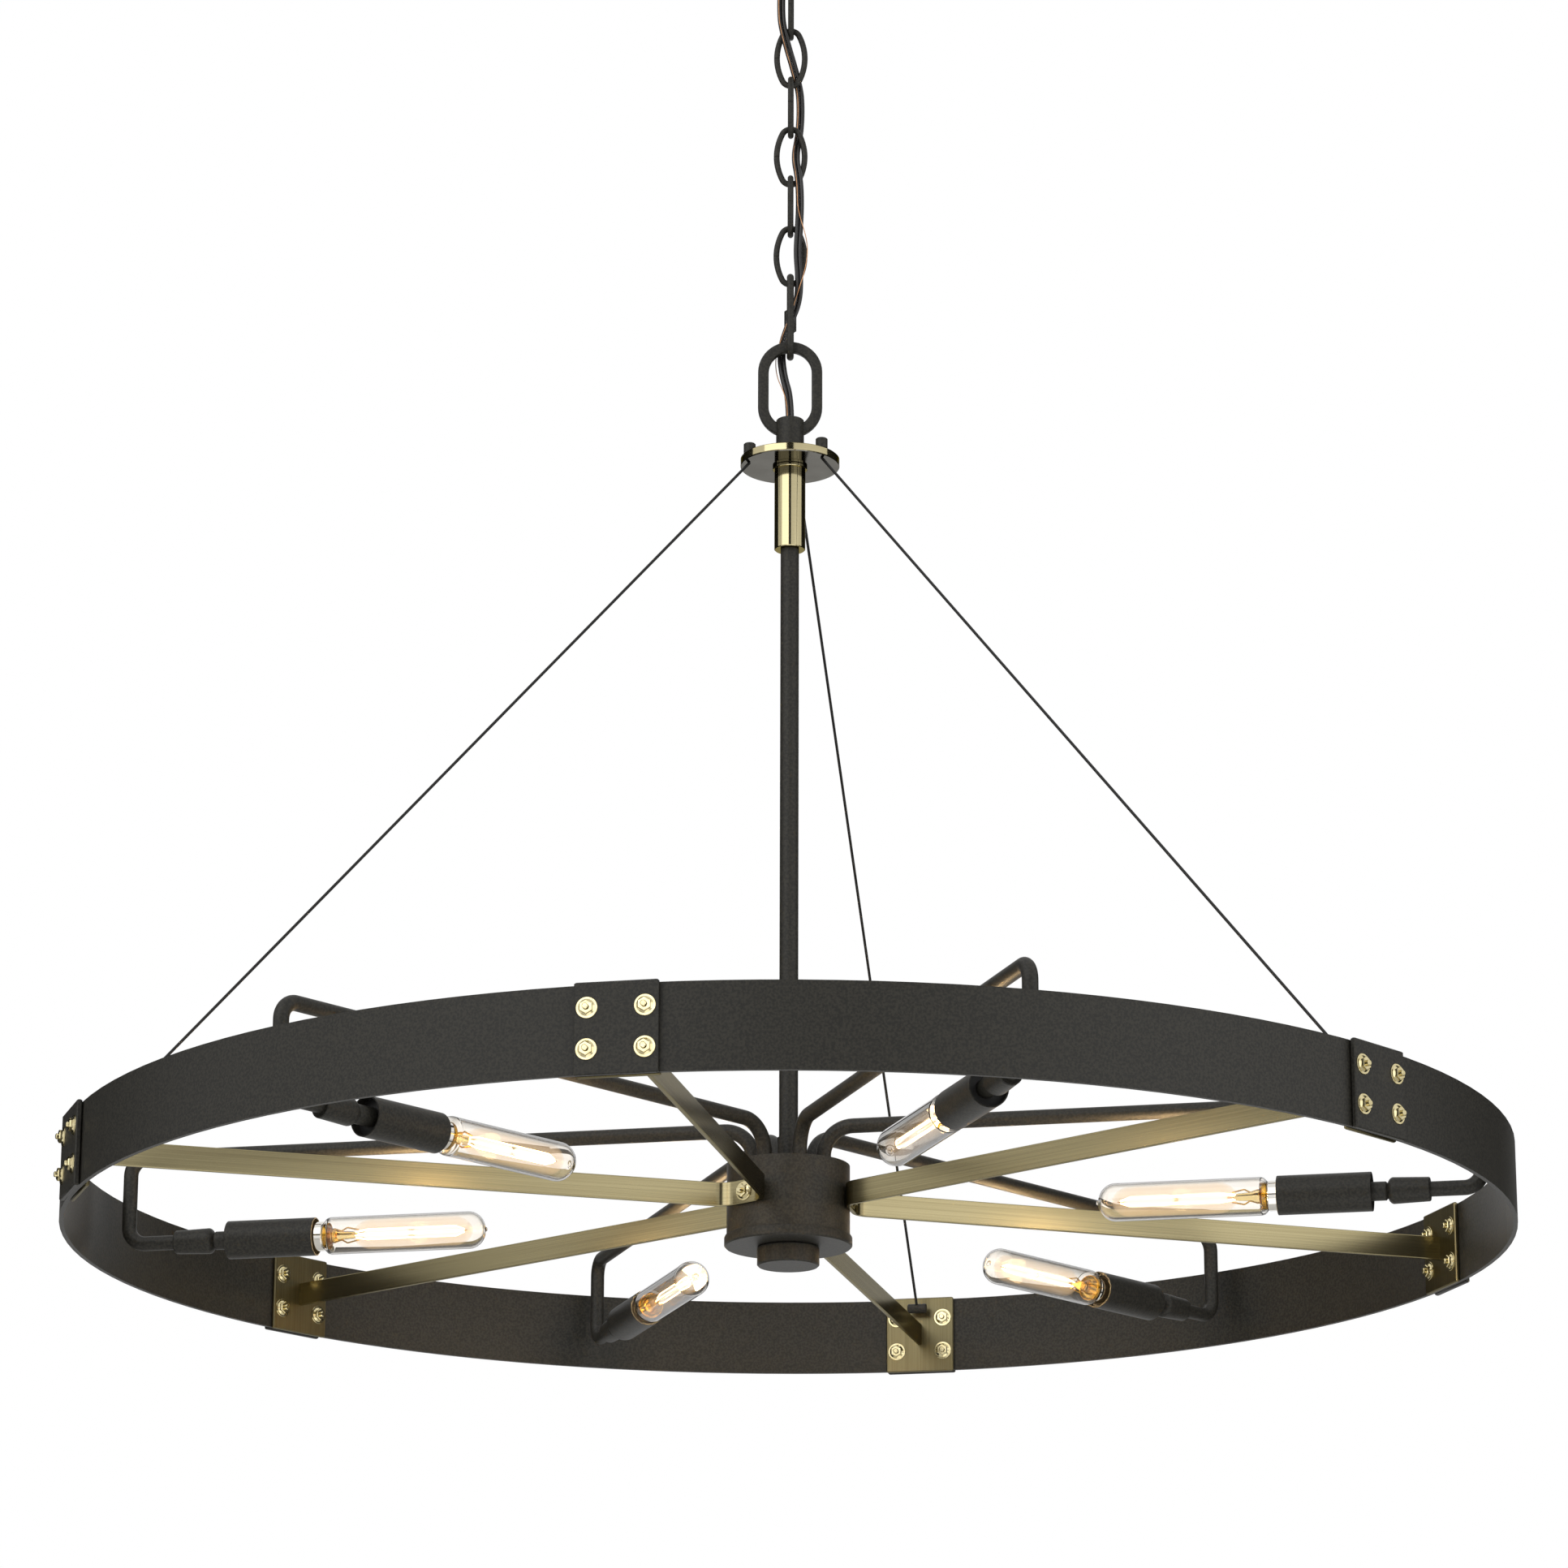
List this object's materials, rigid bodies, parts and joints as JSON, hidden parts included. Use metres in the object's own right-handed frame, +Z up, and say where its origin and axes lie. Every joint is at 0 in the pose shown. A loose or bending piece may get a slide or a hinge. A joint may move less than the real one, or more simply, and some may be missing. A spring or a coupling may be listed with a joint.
{
  "type": "pendant light",
  "caption": "Wagon-wheel pendant light: flat ring on bent strap spokes, bent tube arms with tubular filament bulbs, rod, cables and chain to a ceiling canopy",
  "frame": {"origin": "on the lamp's hanging axis, in the plane of the ceiling, at the middle of the canopy's two screw slots", "axes": "+Z is up, out of the lamp into the ceiling; +X is to the right in the picture and +Y points away from the viewer"},
  "size_m": [0.9649, 0.9692, 1.0029],
  "materials": {
    "charcoal_paint": "matte powder coat",
    "antique_brass": "brushed and aged",
    "bright_brass": "polished",
    "zinc_steel": "zinc plated",
    "steel_cable": "blackened wire rope",
    "socket_black": "moulded",
    "bulb_chrome": "plated",
    "filament": "glowing filament on a glass stem",
    "clear_glass": "clear",
    "cord_black": "smooth jacket"
  },
  "bodies": {
    "ceiling_mount": {"canopy": "charcoal_paint", "mounting_bar": "zinc_steel", "canopy_nipple": "zinc_steel", "canopy_eye": "charcoal_paint", "supply_cord": "cord_black"},
    "body_chain_link_1": {"chain_link_1": "charcoal_paint"},
    "body_chain_link_2": {"chain_link_2": "charcoal_paint"},
    "body_chain_link_3": {"chain_link_3": "charcoal_paint"},
    "body_chain_link_4": {"chain_link_4": "charcoal_paint"},
    "body_chain_link_5": {"chain_link_5": "charcoal_paint"},
    "body_chain_link_6": {"chain_link_6": "charcoal_paint"},
    "body_quick_link": {"quick_link": "charcoal_paint"},
    "body_gate_nut": {"gate_nut": "charcoal_paint"},
    "lamp_wheel": {"hanging_loop": "charcoal_paint", "cable_disc": "antique_brass", "cable_grips": "charcoal_paint", "rod_sleeve": "antique_brass", "down_rod": "charcoal_paint", "hub_drum": "charcoal_paint", "hub_cover": "charcoal_paint", "finial": "charcoal_paint", "hub_bolts": "bright_brass", "rim_band": "charcoal_paint", "outer_plates": "charcoal_paint", "inner_plates": "antique_brass", "bracket_bolts": "bright_brass", "cable_clamps": "charcoal_paint", "couplings": "charcoal_paint", "shades": "charcoal_paint", "socket_inserts": "socket_black", "bulb_bases": "bulb_chrome", "filaments": "filament", "bulbs": "clear_glass", "spoke_1": "antique_brass", "spoke_2": "antique_brass", "spoke_3": "antique_brass", "arm_1": "charcoal_paint", "arm_2": "charcoal_paint", "arm_3": "charcoal_paint", "arm_4": "charcoal_paint", "arm_5": "charcoal_paint", "arm_6": "charcoal_paint", "suspension_cable_1": "steel_cable", "suspension_cable_2": "steel_cable", "suspension_cable_3": "steel_cable"}
  },
  "joints": [
    {"name": "link_1_swing", "type": "hinge", "parent": "ceiling_mount", "child": "body_chain_link_1", "pos_m": [0, 0, -0.073], "axis": [1, 0, 0], "range_deg": [-15, 15], "deforming": ["supply_cord"]},
    {"name": "link_2_swing", "type": "hinge", "parent": "body_chain_link_1", "child": "body_chain_link_2", "pos_m": [0, 0, -0.1101], "axis": [0, 1, 0], "range_deg": [-15, 15], "deforming": ["supply_cord"]},
    {"name": "link_3_swing", "type": "hinge", "parent": "body_chain_link_2", "child": "body_chain_link_3", "pos_m": [0, 0, -0.1481], "axis": [1, 0, 0], "range_deg": [-15, 15], "deforming": ["supply_cord"]},
    {"name": "link_4_swing", "type": "hinge", "parent": "body_chain_link_3", "child": "body_chain_link_4", "pos_m": [0, 0, -0.1861], "axis": [0, 1, 0], "range_deg": [-15, 15], "deforming": ["supply_cord"]},
    {"name": "link_5_swing", "type": "hinge", "parent": "body_chain_link_4", "child": "body_chain_link_5", "pos_m": [0, 0, -0.2241], "axis": [1, 0, 0], "range_deg": [-15, 15], "deforming": ["supply_cord"]},
    {"name": "link_6_swing", "type": "hinge", "parent": "body_chain_link_5", "child": "body_chain_link_6", "pos_m": [0, 0, -0.2621], "axis": [0, 1, 0], "range_deg": [-15, 15], "deforming": ["supply_cord"]},
    {"name": "quick_link_swing", "type": "hinge", "parent": "body_chain_link_6", "child": "body_quick_link", "pos_m": [0, 0, -0.3001], "axis": [1, 0, 0], "range_deg": [-15, 15], "deforming": ["supply_cord"]},
    {"name": "wheel_swing", "type": "hinge", "parent": "body_quick_link", "child": "lamp_wheel", "pos_m": [0, 0, -0.3542], "axis": [0, 1, 0], "range_deg": [-15, 15], "deforming": ["supply_cord"]},
    {"name": "gate_nut_travel", "type": "slide", "parent": "body_quick_link", "child": "body_gate_nut", "axis": [0, 0, 1], "range_m": [0, 0.009]}
  ]
}
